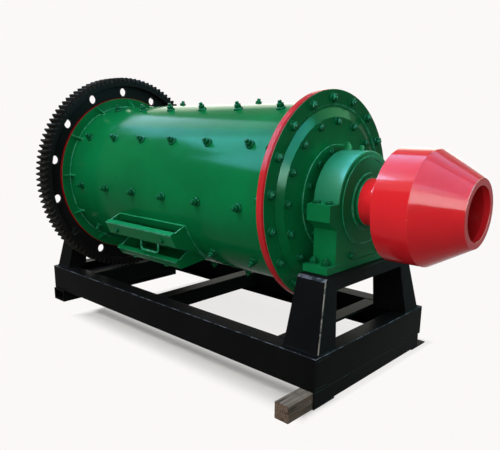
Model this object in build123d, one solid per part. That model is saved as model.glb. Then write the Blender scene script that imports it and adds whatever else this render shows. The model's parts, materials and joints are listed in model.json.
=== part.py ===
# Small overflow ball mill on a welded steel skid.
# Millimetres, +Z up, +X towards the feed end, -Y is the hatch side.
# The origin is on the floor under the middle of the machine's box.

import os
from math import cos, pi, radians, sin, tan

from build123d import *

# Drum
shell_outer_radius = 450.0
shell_wall = 14.0
shell_length = 1646.0
shell_centre_x = -259.0
flange_height = 60.0
feed_flange_thickness = 30.0
gear_flange_thickness = 20.0
gusset_count = 12
gusset_first_angle = 3.0
gusset_length = 62.0
gusset_thickness = 8.0
gusset_edge_setback = 10.0
gusset_toe = 6.0

# Drum heads
feed_head_thickness = 12.0
gear_head_thickness = 22.0
head_rim_width = 68.0
head_groove_depth = 5.0
head_groove_width = 15.0
head_cone_run = 43.0
head_cone_height = 15.0
head_eye_step = 10.0

# Ring gear
gear_module = 11.25
tooth_addendum = 1.0
tooth_dedendum = 1.25
tooth_pressure_angle = 20.0
tooth_backlash = 0.6
gear_face_width = 108.0
gear_web_depth = 78.0
gear_rim_thickness = 28.0
gear_ground_clearance = 204.75
gear_web_thickness = 22.0
gear_web_hole_count = 14
gear_web_hole_radius = 27.0
gear_web_first_hole_angle = 13.0

# Trunnions
journal_radius = 112.0
trunnion_wall = 30.0
hub_flange_width = 146.0
feed_hub_thickness = 9.0
gear_hub_thickness = 18.0
feed_journal_overrun = 19.0
gear_journal_overrun = 24.0

# Drum feeder
feeder_neck_step = 2.0
feeder_neck_bore_step = 5.0
feeder_neck_length = 145.0
feeder_radius = 253.0
feeder_wall = 10.0
feeder_back_thickness = 12.0
feeder_barrel_length = 164.0
feeder_cone_length = 186.0
mouth_outer_radius = 145.5
mouth_inner_radius = 116.0
mouth_ring_length = 110.0
mouth_bore_length = 26.0

# Bearings
bearing_clearance = 0.3
feed_bearing_width = 122.0
gear_bearing_width = 112.0
feed_barrel_overhang = 18.0
feed_bearing_gap = 55.0
gear_bearing_gap = 16.0
bearing_plate_thickness = 33.0
bearing_plate_lip = 5.0
bearing_plate_margin = 10.0
bearing_sill = 55.0
bearing_wall = 8.0
bearing_shoulder_drop = 108.0
bearing_ear_drop = 65.0
bearing_ear_width = 60.0
bearing_ear_rise = 10.0
bearing_cap_rim = 22.0
bearing_cap_edge = 6.0
cover_thickness = 6.0
cover_land = 78.0
cover_rim_width = 14.0
cover_recess = 4.0
cover_bore_clearance = 1.5
gland_width = 20.0
gland_thickness = 4.0
grease_cup_radius = 14.0
grease_cup_height = 24.0
grease_cap_radius = 7.0
grease_cap_height = 11.0
grease_cup_share = 0.17
oil_plug_radius = 9.5
oil_plug_height = 22.0
oil_plug_share = 0.695

# Skid frame
rail_bottom = 79.0
rail_depth = 156.0
frame_half_width = 489.0
rail_flange_width = 98.0
rail_web = 12.0
rail_flange = 14.0
end_beam_width = 85.0
frame_end_margin = 12.0
gear_frame_margin = 2.0
mid_beam_x = -254.0
mid_beam_width = 84.0
mid_beam_depth = 88.0
mid_beam_wall = 8.0
gear_beam_clearance = 15.0
gear_beam_width = 130.0
gear_beam_inset = 100.0
feed_tie_width = 80.0
feed_tie_thickness = 14.0
feed_tie_gap = 4.0
skid_tube_width = 125.0
skid_tube_wall = 8.0
skid_tube_overhang = 10.0
feed_skid_width = 75.0
feed_skid_wall = 8.0
feed_skid_far_inset = 19.0
foot_plate_thickness = 8.0
foot_plate_reach = 74.0
foot_plate_lap = 60.0
timber_width = 75.0
timber_outstand = 164.0
timber_edge = 3.0

# Pedestals
pedestal_head_depth = 61.0
pedestal_ledge = 55.0
pedestal_foot_setback = 34.0
pedestal_leg_foot_width = 134.0
pedestal_leg_top_width = 77.0
feed_pedestal_foot_width = 192.0
feed_pedestal_top_width = 154.0
feed_pedestal_setback = 8.0
gear_pedestal_foot_width = 138.0
gear_pedestal_top_width = 126.0
gear_pedestal_clearance = 9.0
pedestal_top_edge = 10.0

# Hatch, with angles measured down from the front of the drum
hatch_left_from_centre = 335.0
hatch_right_from_centre = 252.0
hatch_sheet = 8.0
upper_tray_height = 112.0
upper_tray_start_angle = 21.6
upper_lip_top_angle = 22.4
upper_lip_bottom_angle = 29.3
upper_lip_width = 32.0
upper_floor_angle = 44.0
upper_end_angle = 53.0
upper_back_end_angle = 27.0
upper_back_thickness = 10.0
lower_tray_height = 140.0
lower_tray_inset = 26.0
lower_neck_height = 50.0
lower_neck_angle = 39.4
lower_root_angle = 46.4
lower_lip_top_angle = 38.8
lower_lip_bottom_angle = 43.3
lower_lip_width = 24.0
lower_end_angle = 60.0
cover_start_angle = 47.4
cover_end_angle = 53.6
cover_plate_thickness = 12.0
handle_width = 150.0
handle_drop = 58.0
handle_rod_radius = 6.0
handle_bend = 20.0
handle_offset_x = 58.0
handle_setback = 16.0

# Radii that follow from the sizes above
shell_inner_radius = shell_outer_radius - shell_wall
flange_radius = shell_outer_radius + flange_height
head_groove_radius = flange_radius - head_rim_width
head_cone_base_radius = head_groove_radius - head_groove_width
head_cone_top_radius = head_cone_base_radius - head_cone_run
trunnion_bore_radius = journal_radius - trunnion_wall
head_eye_radius = trunnion_bore_radius + head_eye_step
gear_rim_inner_radius = flange_radius + gear_web_depth
gear_web_hole_circle = (flange_radius + gear_rim_inner_radius) / 2
tooth_root_radius = gear_rim_inner_radius + gear_rim_thickness
tooth_count = round(2 * (tooth_root_radius / gear_module + tooth_dedendum))
tooth_tip_radius = gear_module * (tooth_count / 2 + tooth_addendum)
hub_radius = journal_radius + hub_flange_width
gland_radius = journal_radius + gland_width
cover_radius = gland_radius + cover_land
bearing_cap_radius = cover_radius + bearing_cap_rim
feeder_neck_radius = journal_radius - feeder_neck_step
feeder_neck_bore_radius = trunnion_bore_radius + feeder_neck_bore_step
upper_tray_radius = shell_outer_radius + upper_tray_height
lower_tray_radius = shell_outer_radius + lower_tray_height
lower_neck_radius = shell_outer_radius + lower_neck_height

# Heights and half widths that follow
rail_top = rail_bottom + rail_depth
axis_height = tooth_tip_radius + gear_ground_clearance
gear_beam_top = gear_ground_clearance - gear_beam_clearance
pedestal_top = axis_height - cover_radius - bearing_sill - bearing_plate_thickness
pedestal_window_top = pedestal_top - pedestal_head_depth
bearing_body_half_width = bearing_cap_radius + bearing_wall
bearing_ear_half_width = bearing_body_half_width + bearing_ear_width
bearing_plate_half_length = bearing_ear_half_width + bearing_plate_margin
pedestal_top_half_width = bearing_plate_half_length + pedestal_ledge
pedestal_foot_half_width = frame_half_width - pedestal_foot_setback
pedestal_window_top_half_width = pedestal_top_half_width - pedestal_leg_top_width
pedestal_window_foot_half_width = pedestal_foot_half_width - pedestal_leg_foot_width

# Places along the machine that follow from the sizes above
shell_gear_x = shell_centre_x - shell_length / 2
shell_feed_x = shell_centre_x + shell_length / 2
gear_web_x0 = shell_gear_x - gear_flange_thickness - gear_web_thickness
gear_web_x1 = shell_gear_x - gear_flange_thickness
gear_centre_x = (gear_web_x0 + gear_web_x1) / 2
gear_back_x = gear_centre_x - gear_face_width / 2
gear_head_x0 = gear_web_x0 - gear_head_thickness
gear_hub_x0 = gear_head_x0 - gear_hub_thickness
gear_bearing_x1 = gear_hub_x0 - gear_bearing_gap
gear_bearing_x0 = gear_bearing_x1 - gear_bearing_width
gear_journal_x0 = gear_bearing_x0 - gear_journal_overrun
gear_pedestal_x1 = gear_back_x - gear_pedestal_clearance
gear_pedestal_x0 = gear_pedestal_x1 - gear_pedestal_foot_width
frame_gear_x = gear_pedestal_x0 - gear_frame_margin

feed_head_x0 = shell_feed_x + feed_flange_thickness
feed_head_face_x = feed_head_x0 + feed_head_thickness
head_groove_x = feed_head_face_x - head_groove_depth
feed_hub_x0 = head_groove_x + head_cone_height
feed_hub_x1 = feed_hub_x0 + feed_hub_thickness
feed_bearing_x0 = feed_hub_x1 + feed_bearing_gap
feed_bearing_x1 = feed_bearing_x0 + feed_bearing_width
feed_barrel_x0 = feed_bearing_x0 - feed_barrel_overhang
feed_journal_x1 = feed_bearing_x1 + feed_journal_overrun
feed_pedestal_x0 = feed_bearing_x0 + feed_pedestal_setback
feed_pedestal_x1 = feed_pedestal_x0 + feed_pedestal_foot_width
frame_feed_x = feed_pedestal_x1 + frame_end_margin
feeder_back_x = feed_journal_x1 + feeder_neck_length
feeder_edge_x = feeder_back_x + feeder_barrel_length
feeder_mouth_x = feeder_edge_x + feeder_cone_length
rail_inner_y = frame_half_width - rail_flange_width
web_inner_y = frame_half_width - rail_web

drum_axis = Axis((0, 0, axis_height), (1, 0, 0))


def block(x0, x1, y0, y1, z0, z1):
    """A box between two corners."""
    centre = Pos((x0 + x1) / 2, (y0 + y1) / 2, (z0 + z1) / 2)
    return centre * Box(abs(x1 - x0), abs(y1 - y0), abs(z1 - z0))


def along_x(points, x0, x1):
    """A closed outline of (y, z) points, extruded from x0 to x1."""
    outline = Polyline([(x0, y, z) for y, z in points], close=True)
    return extrude(make_face(outline), amount=x1 - x0, dir=(1, 0, 0))


def along_y(points, y0, y1):
    """A closed outline of (x, z) points, extruded from y0 to y1."""
    outline = Polyline([(x, y0, z) for x, z in points], close=True)
    return extrude(make_face(outline), amount=y1 - y0, dir=(0, 1, 0))


def turned(points):
    """A closed outline of (x, radius) points, turned about the drum axis."""
    outline = Polyline([(x, 0, axis_height + r) for x, r in points], close=True)
    return revolve(make_face(outline), drum_axis)


def ring(x0, x1, outer, inner):
    """A plain ring about the drum axis."""
    return turned([(x0, inner), (x1, inner), (x1, outer), (x0, outer)])


def disc(x0, x1, radius):
    """A plain disc about the drum axis."""
    return turned([(x0, 0), (x1, 0), (x1, radius), (x0, radius)])


def polar(radius, angle):
    """The (y, z) point at a radius and an angle below the drum's front."""
    return (-radius * cos(radians(angle)), axis_height - radius * sin(radians(angle)))


def strip(start, end, thickness):
    """The outline of a sheet from start to end, thickened to its left."""
    dy = end[0] - start[0]
    dz = end[1] - start[1]
    length = (dy * dy + dz * dz) ** 0.5
    oy = -dz / length * thickness
    oz = dy / length * thickness
    return [start, end, (end[0] + oy, end[1] + oz), (start[0] + oy, start[1] + oz)]


# Skid frame


def rail(side):
    """A channel rail, web outward, on one side of the frame."""
    outer = side * frame_half_width
    web = side * web_inner_y
    inner = side * rail_inner_y
    top = rail_top - rail_flange
    bottom = rail_bottom + rail_flange
    outline = [
        (outer, rail_bottom),
        (inner, rail_bottom),
        (inner, bottom),
        (web, bottom),
        (web, top),
        (inner, top),
        (inner, rail_top),
        (outer, rail_top),
    ]
    return along_x(outline, frame_gear_x, frame_feed_x)


def end_beam(web_x, flange_x):
    """A channel across the end, coped to fit between the rail flanges."""
    inner_x = web_x + rail_web * (1 if flange_x > web_x else -1)
    low = rail_bottom + rail_flange
    high = rail_top - rail_flange
    web = block(web_x, inner_x, -rail_inner_y, rail_inner_y, rail_bottom, rail_top)
    tongue = block(web_x, inner_x, -web_inner_y, web_inner_y, low, high)
    top = block(inner_x, flange_x, -rail_inner_y, rail_inner_y, high, rail_top)
    bottom = block(inner_x, flange_x, -rail_inner_y, rail_inner_y, rail_bottom, low)
    return web + tongue + top + bottom


def mid_cross_member():
    """A square tube between the rail flanges under the middle of the drum."""
    x0 = mid_beam_x - mid_beam_width / 2
    x1 = mid_beam_x + mid_beam_width / 2
    z0 = rail_top - mid_beam_depth
    tube = block(x0, x1, -rail_inner_y, rail_inner_y, z0, rail_top)
    hollow = block(
        x0 + mid_beam_wall,
        x1 - mid_beam_wall,
        -rail_inner_y,
        rail_inner_y,
        z0 + mid_beam_wall,
        rail_top - mid_beam_wall,
    )
    return tube - hollow


def gear_cross_member():
    """A low channel under the ring gear, flanges down, so that the teeth clear it."""
    x0 = frame_gear_x + gear_beam_inset
    x1 = x0 + gear_beam_width
    top = block(x0, x1, -rail_inner_y, rail_inner_y, gear_beam_top - rail_flange, gear_beam_top)
    sides = [
        block(x, x + rail_web, -rail_inner_y, rail_inner_y, rail_bottom, gear_beam_top - rail_flange)
        for x in (x0, x1 - rail_web)
    ]
    return top + sides[0] + sides[1]


def feed_tie_plate():
    """A flat tie between the rails on the drum side of the feed pedestal."""
    x1 = feed_pedestal_x0 - feed_tie_gap
    z0 = rail_top - feed_tie_thickness
    return block(x1 - feed_tie_width, x1, -rail_inner_y, rail_inner_y, z0, rail_top)


def skid_tube():
    """The hollow runner under the gear end, open at both ends."""
    half = frame_half_width + skid_tube_overhang
    x1 = frame_gear_x + skid_tube_width
    wall = skid_tube_wall
    tube = block(frame_gear_x, x1, -half, half, 0, rail_bottom)
    return tube - block(frame_gear_x + wall, x1 - wall, -half, half, wall, rail_bottom - wall)


def feed_skid():
    """The channel runner under the feed end, its web carried on past the timber to the floor."""
    x0 = frame_feed_x - feed_skid_width
    x1 = frame_feed_x - feed_skid_wall
    y0 = -rail_inner_y
    y1 = frame_half_width - feed_skid_far_inset
    low = foot_plate_thickness
    web = block(x1, frame_feed_x, y0, y1, low, rail_bottom)
    near_web = block(x1, frame_feed_x, -frame_half_width, y0, 0, rail_bottom)
    top = block(x0, x1, y0, y1, rail_bottom - feed_skid_wall, rail_bottom)
    bottom = block(x0, x1, y0, y1, low, low + feed_skid_wall)
    return web + near_web + top + bottom


def foot_plates():
    """Thin floor plates under the feed runner, the far one reaching out past the rail."""
    x0 = frame_feed_x - feed_skid_width
    far = frame_half_width + foot_plate_reach
    far_start = frame_half_width - feed_skid_far_inset - foot_plate_lap
    far_plate = block(x0, frame_feed_x, far_start, far, 0, foot_plate_thickness)
    near_end = -rail_inner_y + foot_plate_lap
    near_plate = block(x0, frame_feed_x, -rail_inner_y, near_end, 0, foot_plate_thickness)
    return Compound([far_plate.solid(), near_plate.solid()])


def timber_block():
    """A squared timber under the near rail, behind the runner's web, sticking out past the rail."""
    x1 = frame_feed_x - feed_skid_wall
    y0 = -frame_half_width - timber_outstand
    timber = block(x1 - timber_width, x1, y0, -rail_inner_y, 0, rail_bottom)
    return chamfer(timber.edges().filter_by(Axis.Y), timber_edge)


# Pedestals


def pedestal_leg(side, inner_x, foot_x, top_x):
    """One splayed leg, as a tapered box from the rail to the pedestal's top."""

    def section(z, outer_y, inner_y, end_x):
        corners = [(inner_x, outer_y), (end_x, outer_y), (end_x, inner_y), (inner_x, inner_y)]
        return make_face(Polyline([(x, side * y, z) for x, y in corners], close=True))

    rise = pedestal_top - rail_top
    share = (pedestal_window_top - rail_top) / rise
    mid_outer = pedestal_foot_half_width + share * (pedestal_top_half_width - pedestal_foot_half_width)
    mid_end = foot_x + share * (top_x - foot_x)
    foot = section(rail_top, pedestal_foot_half_width, pedestal_window_foot_half_width, foot_x)
    head = section(pedestal_window_top, mid_outer, pedestal_window_top_half_width, mid_end)
    return loft([foot, head])


def pedestal_beam(inner_x, foot_x, top_x):
    """The head of the portal, across the top of both legs."""
    rise = pedestal_top - rail_top
    share = (pedestal_window_top - rail_top) / rise
    low_y = pedestal_foot_half_width + share * (pedestal_top_half_width - pedestal_foot_half_width)
    low_x = foot_x + share * (top_x - foot_x)

    def section(z, half_y, end_x):
        corners = [(inner_x, -half_y), (end_x, -half_y), (end_x, half_y), (inner_x, half_y)]
        return make_face(Polyline([(x, y, z) for x, y in corners], close=True))

    low = section(pedestal_window_top, low_y, low_x)
    high = section(pedestal_top, pedestal_top_half_width, top_x)
    beam = loft([low, high])
    top_edges = beam.faces().sort_by(Axis.Z)[-1].edges().filter_by(Axis.X)
    return chamfer(top_edges, pedestal_top_edge)


# Bearings


def bearing_barrel(x0, x1):
    """The round housing about the shaft, before it is split and bored."""
    barrel = disc(x0, x1, bearing_cap_radius)
    return fillet(barrel.edges().filter_by(GeomType.CIRCLE), bearing_cap_edge)


def bearing_base(x0, x1, barrel_x0):
    """The lower half of a plummer block on its base plate, bored for the journal."""
    lip = bearing_plate_lip
    plate_top = pedestal_top + bearing_plate_thickness
    half = bearing_plate_half_length
    plate = block(x0 - lip, x1 + lip, -half, half, pedestal_top, plate_top)
    body_half = bearing_body_half_width
    ear_half = bearing_ear_half_width
    shoulder = axis_height - bearing_shoulder_drop
    ear = axis_height - bearing_ear_drop
    outline = [
        (-body_half, plate_top),
        (body_half, plate_top),
        (body_half, shoulder),
        (ear_half, ear),
        (ear_half, axis_height),
        (-ear_half, axis_height),
        (-ear_half, ear),
        (-body_half, shoulder),
    ]
    body = along_x(outline, x0, x1)
    lower = block(barrel_x0, x1, -body_half, body_half, plate_top, axis_height)
    barrel = bearing_barrel(barrel_x0, x1) & lower
    return plate + body + barrel - disc(barrel_x0, x1, journal_radius + bearing_clearance)


def bearing_cap(x0, x1, barrel_x0):
    """The round upper half with its bolting ears."""
    ear_half = bearing_ear_half_width
    ears = block(x0, x1, -ear_half, ear_half, axis_height, axis_height + bearing_ear_rise)
    upper = block(barrel_x0, x1, -ear_half, ear_half, axis_height, axis_height + ear_half)
    barrel = bearing_barrel(barrel_x0, x1) & upper
    return ears + barrel - disc(barrel_x0, x1, journal_radius + bearing_clearance)


def bearing_cover(face_x, outward, has_gland):
    """A round end cover with a raised rim and, outside, a gland ring round the shaft."""
    bore = journal_radius + cover_bore_clearance
    rim_inner = cover_radius - cover_rim_width
    outer_x = face_x + outward * cover_thickness
    recess_x = outer_x - outward * cover_recess
    if not has_gland:
        return ring(face_x, outer_x, cover_radius, bore)
    gland_x = outer_x + outward * gland_thickness
    return turned(
        [
            (face_x, bore),
            (gland_x, bore),
            (gland_x, gland_radius),
            (recess_x, gland_radius),
            (recess_x, rim_inner),
            (outer_x, rim_inner),
            (outer_x, cover_radius),
            (face_x, cover_radius),
        ]
    )


def bearing_covers(x0, x1, outward):
    """Both end covers of a bearing, the one away from the drum with its gland."""
    low = bearing_cover(x0, -1, outward < 0)
    high = bearing_cover(x1, 1, outward > 0)
    return Compound([low.solid(), high.solid()])


def grease_fittings():
    """A grease cup and an oil plug on the crown of each cap."""
    crown = axis_height + bearing_cap_radius
    solids = []
    for drum_side_x, outer_x in (
        (feed_barrel_x0, feed_bearing_x1),
        (gear_bearing_x1, gear_bearing_x0),
    ):
        width = outer_x - drum_side_x
        ends = min(drum_side_x, outer_x), max(drum_side_x, outer_x)
        cup_x = drum_side_x + grease_cup_share * width
        plug_x = drum_side_x + oil_plug_share * width
        cup_top = crown + grease_cup_height
        cup = upright(cup_x, crown, cup_top, grease_cup_radius)
        knob = upright(cup_x, cup_top, cup_top + grease_cap_height, grease_cap_radius)
        solids.append(seated_on_cap(cup + knob, *ends))
        plug = upright(plug_x, crown, crown + oil_plug_height, oil_plug_radius)
        solids.append(seated_on_cap(plug, *ends))
    return Compound([part.solid() for part in solids])


def upright(x, z0, z1, radius):
    """A vertical round boss on the drum's middle plane."""
    return Pos(x, 0, (z0 + z1) / 2) * Cylinder(radius, z1 - z0)


def seated_on_cap(boss, x0, x1):
    """Carries a boss down to the cap's round crown."""
    foot = boss.faces().sort_by(Axis.Z)[0]
    root = extrude(foot, amount=bearing_cap_edge, dir=(0, 0, -1))
    return boss + root - disc(x0, x1, bearing_cap_radius)


# Drum


def drum_shell():
    """The rolled shell, open at both ends."""
    return ring(shell_gear_x, shell_feed_x, shell_outer_radius, shell_inner_radius)


def shell_flange(x0, x1):
    """A flat ring welded round the end of the shell."""
    return ring(x0, x1, flange_radius, shell_inner_radius)


def gussets(flange_x, inward):
    """Triangular ribs between the shell and one flange."""
    top = flange_radius - gusset_edge_setback
    foot = shell_outer_radius
    toe_x = flange_x + inward * gusset_length
    crest_x = flange_x + inward * gusset_toe
    half = gusset_thickness / 2
    outline = [
        (flange_x, axis_height + foot - gusset_toe),
        (toe_x, axis_height + foot - gusset_toe),
        (toe_x, axis_height + foot + gusset_toe),
        (crest_x, axis_height + top),
        (flange_x, axis_height + top),
    ]
    rib = along_y(outline, -half, half)
    shell = disc(min(flange_x, toe_x), max(flange_x, toe_x), shell_outer_radius)
    rib = rib - shell
    pitch = 360.0 / gusset_count
    # A turn of 90 degrees about +X takes the top of the drum to the hatch side.
    solids = [
        rib.rotate(drum_axis, 90.0 - gusset_first_angle - step * pitch).solid()
        for step in range(gusset_count)
    ]
    return Compound(solids)


def feed_head():
    """The flanged head with a shallow groove round its conical boss."""
    return turned(
        [
            (feed_head_x0, head_eye_radius),
            (feed_hub_x0, head_eye_radius),
            (feed_hub_x0, head_cone_top_radius),
            (head_groove_x, head_cone_base_radius),
            (head_groove_x, head_groove_radius),
            (feed_head_face_x, head_groove_radius),
            (feed_head_face_x, flange_radius),
            (feed_head_x0, flange_radius),
        ]
    )


def gear_head():
    """The flat head behind the ring gear's web."""
    return ring(gear_head_x0, gear_web_x0, flange_radius, head_eye_radius)


def feed_trunnion():
    """The hub flange and hollow journal at the feed end, in one casting."""
    return turned(
        [
            (feed_hub_x0, trunnion_bore_radius),
            (feed_journal_x1, trunnion_bore_radius),
            (feed_journal_x1, journal_radius),
            (feed_hub_x1, journal_radius),
            (feed_hub_x1, hub_radius),
            (feed_hub_x0, hub_radius),
        ]
    )


def gear_trunnion():
    """The hub flange and hollow journal at the gear end, in one casting."""
    return turned(
        [
            (gear_head_x0, trunnion_bore_radius),
            (gear_journal_x0, trunnion_bore_radius),
            (gear_journal_x0, journal_radius),
            (gear_hub_x0, journal_radius),
            (gear_hub_x0, hub_radius),
            (gear_head_x0, hub_radius),
        ]
    )


def tooth_outline():
    """The (y, z) points round the gear, with flanks of two straight runs a side."""
    pitch_radius = gear_module * tooth_count / 2
    tip = tooth_tip_radius
    root = pitch_radius - tooth_dedendum * gear_module
    half_pitch_tooth = pi * gear_module / 4 - tooth_backlash / 2
    slope = tan(radians(tooth_pressure_angle))
    half_tip = half_pitch_tooth - slope * (tip - pitch_radius)
    half_root = half_pitch_tooth + slope * (pitch_radius - root)
    points = []
    for tooth in range(tooth_count):
        middle = 2 * pi * tooth / tooth_count
        for radius, offset in (
            (root, -half_root),
            (pitch_radius, -half_pitch_tooth),
            (tip, -half_tip),
            (tip, half_tip),
            (pitch_radius, half_pitch_tooth),
            (root, half_root),
        ):
            angle = middle + offset / radius
            points.append((radius * cos(angle), axis_height + radius * sin(angle)))
    return points


def ring_gear():
    """The toothed rim with its thinner web, pierced by round holes."""
    x0 = gear_back_x
    x1 = gear_back_x + gear_face_width
    rim = along_x(tooth_outline(), x0, x1) - disc(x0, x1, gear_rim_inner_radius)
    web = ring(gear_web_x0, gear_web_x1, gear_rim_inner_radius, shell_inner_radius)
    hole_y = gear_web_hole_circle
    hole = Pos(gear_centre_x, -hole_y, axis_height) * Rot(0, 90, 0)
    hole = hole * Cylinder(gear_web_hole_radius, 2 * gear_web_thickness)
    pitch = 360.0 / gear_web_hole_count
    for step in range(gear_web_hole_count):
        web = web - hole.rotate(drum_axis, gear_web_first_hole_angle + step * pitch)
    return rim + web


# Drum feeder


def feeder_neck():
    """The red neck that joins the feeder to the journal's end."""
    return ring(feed_journal_x1, feeder_back_x, feeder_neck_radius, feeder_neck_bore_radius)


def feeder_barrel():
    """The round barrel of the feeder with its back plate."""
    plate_x = feeder_back_x + feeder_back_thickness
    inner = feeder_radius - feeder_wall
    return turned(
        [
            (feeder_back_x, feeder_neck_bore_radius),
            (plate_x, feeder_neck_bore_radius),
            (plate_x, inner),
            (feeder_edge_x, inner),
            (feeder_edge_x, feeder_radius),
            (feeder_back_x, feeder_radius),
        ]
    )


cone_slope = (feeder_radius - mouth_outer_radius) / feeder_cone_length
ring_x = feeder_mouth_x - mouth_ring_length
ring_outer = mouth_outer_radius + cone_slope * mouth_ring_length


def feeder_cone():
    """The sheet cone from the barrel's edge to the mouth ring."""
    return turned(
        [
            (feeder_edge_x, feeder_radius - feeder_wall),
            (ring_x, ring_outer - feeder_wall),
            (ring_x, ring_outer),
            (feeder_edge_x, feeder_radius),
        ]
    )


def feeder_mouth_ring():
    """The thick ring round the open mouth: a short bore, then the cone's slope inside and out."""
    flare = cone_slope * (mouth_ring_length - mouth_bore_length)
    return turned(
        [
            (ring_x, mouth_inner_radius + flare),
            (feeder_mouth_x - mouth_bore_length, mouth_inner_radius),
            (feeder_mouth_x, mouth_inner_radius),
            (feeder_mouth_x, mouth_outer_radius),
            (ring_x, ring_outer),
        ]
    )


# Hatch

hatch_x0 = shell_centre_x - hatch_left_from_centre
hatch_x1 = shell_centre_x + hatch_right_from_centre
lower_x0 = hatch_x0 + lower_tray_inset
lower_x1 = hatch_x1 - lower_tray_inset


def on_shell(plates, x0, x1):
    """Joins a tray's plates and trims them to the drum's round side."""
    tray = plates[0]
    for plate in plates[1:]:
        tray = tray + plate
    return tray - disc(x0, x1, shell_outer_radius)


def shell_sheet(x0, x1, thickness, start_angle, end_angle):
    """A curved sheet that lies on the shell between two angles below the drum's front."""
    sheet = ring(x0, x1, shell_outer_radius + thickness, shell_outer_radius)
    reach = 2 * shell_outer_radius
    wedge = [(0, axis_height), polar(reach, start_angle), polar(reach, end_angle)]
    return sheet & along_x(wedge, x0, x1)


def upper_tray():
    """The upper trough: end plates, a back on the shell, a floor, a front and its turned-in lip."""
    radius = upper_tray_radius
    top = polar(radius, upper_lip_top_angle)
    bottom = polar(radius, upper_lip_bottom_angle)
    end = [polar(shell_inner_radius, upper_tray_start_angle), top, bottom, polar(shell_inner_radius, upper_end_angle)]
    lip_back = polar(radius - upper_lip_width, upper_lip_top_angle)
    floor_root = polar(shell_inner_radius, upper_floor_angle)
    plates = [
        along_x(end, hatch_x0, hatch_x0 + hatch_sheet),
        along_x(end, hatch_x1 - hatch_sheet, hatch_x1),
        along_x(strip(top, bottom, hatch_sheet), hatch_x0, hatch_x1),
        along_x(strip(lip_back, top, -hatch_sheet), hatch_x0, hatch_x1),
        along_x(strip(bottom, floor_root, hatch_sheet), hatch_x0, hatch_x1),
        shell_sheet(hatch_x0, hatch_x1, upper_back_thickness, upper_tray_start_angle, upper_back_end_angle),
    ]
    return on_shell(plates, hatch_x0, hatch_x1)


def lower_tray():
    """The lower trough, like the upper one but deeper and set in at its ends."""
    radius = lower_tray_radius
    neck = polar(lower_neck_radius, lower_neck_angle)
    top = polar(radius, lower_lip_top_angle)
    bottom = polar(radius, lower_lip_bottom_angle)
    root = polar(shell_inner_radius, lower_end_angle)
    end = [polar(shell_inner_radius, lower_root_angle), neck, top, bottom, root]
    lip_back = polar(radius - lower_lip_width, lower_lip_top_angle)
    plates = [
        along_x(end, lower_x0, lower_x0 + hatch_sheet),
        along_x(end, lower_x1 - hatch_sheet, lower_x1),
        along_x(strip(top, bottom, hatch_sheet), lower_x0, lower_x1),
        along_x(strip(lip_back, top, -hatch_sheet), lower_x0, lower_x1),
        along_x(strip(bottom, root, hatch_sheet), lower_x0, lower_x1),
    ]
    return on_shell(plates, lower_x0, lower_x1)


def hatch_cover():
    """The curved cover plate that lies on the shell inside the lower trough."""
    x0 = lower_x0 + 2 * hatch_sheet
    x1 = lower_x1 - 2 * hatch_sheet
    return shell_sheet(x0, x1, cover_plate_thickness, cover_start_angle, cover_end_angle)


def hatch_handle():
    """A bent rod that hangs from the floor of the upper trough."""
    middle = (hatch_x0 + hatch_x1) / 2 + handle_offset_x
    x0 = middle - handle_width / 2
    x1 = middle + handle_width / 2
    front = polar(upper_tray_radius, upper_lip_bottom_angle)
    root = polar(shell_inner_radius, upper_floor_angle)
    share = handle_setback / (root[0] - front[0])
    seat_z = front[1] + share * (root[1] - front[1]) + hatch_sheet / 2
    seat_y = front[0] + handle_setback

    def hang(x, depth):
        return (x, seat_y, seat_z - depth)

    corners = [hang(x0, 0), hang(x0, handle_drop), hang(x1, handle_drop), hang(x1, 0)]
    path = FilletPolyline(corners, radius=handle_bend)
    start = Plane(origin=corners[0], z_dir=(0, 0, -1))
    rod = sweep(start * Circle(handle_rod_radius), path=path)
    return rod - upper_tray()


nodes = {
    "rail_front": rail(-1),
    "rail_back": rail(1),
    "end_beam_gear": end_beam(frame_gear_x, frame_gear_x + end_beam_width),
    "end_beam_feed": end_beam(frame_feed_x, frame_feed_x - end_beam_width),
    "cross_member_mid": mid_cross_member(),
    "cross_member_gear": gear_cross_member(),
    "tie_plate_feed": feed_tie_plate(),
    "skid_tube_gear": skid_tube(),
    "skid_channel_feed": feed_skid(),
    "foot_plates_feed": foot_plates(),
    "timber_block": timber_block(),
    "bearing_base_feed": bearing_base(feed_bearing_x0, feed_bearing_x1, feed_barrel_x0),
    "bearing_base_gear": bearing_base(gear_bearing_x0, gear_bearing_x1, gear_bearing_x0),
    "bearing_cap_feed": bearing_cap(feed_bearing_x0, feed_bearing_x1, feed_barrel_x0),
    "bearing_cap_gear": bearing_cap(gear_bearing_x0, gear_bearing_x1, gear_bearing_x0),
    "bearing_covers_feed": bearing_covers(feed_barrel_x0, feed_bearing_x1, 1),
    "bearing_covers_gear": bearing_covers(gear_bearing_x0, gear_bearing_x1, -1),
    "grease_fittings": grease_fittings(),
    "drum_shell": drum_shell(),
    "flange_gear_end": shell_flange(gear_web_x1, shell_gear_x),
    "flange_feed_end": shell_flange(shell_feed_x, feed_head_x0),
    "gussets_gear_end": gussets(shell_gear_x, 1),
    "gussets_feed_end": gussets(shell_feed_x, -1),
    "head_feed": feed_head(),
    "head_gear": gear_head(),
    "ring_gear": ring_gear(),
    "trunnion_feed": feed_trunnion(),
    "trunnion_gear": gear_trunnion(),
    "feeder_neck": feeder_neck(),
    "feeder_barrel": feeder_barrel(),
    "feeder_cone": feeder_cone(),
    "feeder_mouth_ring": feeder_mouth_ring(),
    "hatch_upper_tray": upper_tray(),
    "hatch_lower_tray": lower_tray(),
    "hatch_cover": hatch_cover(),
    "hatch_handle": hatch_handle(),
}

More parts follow.
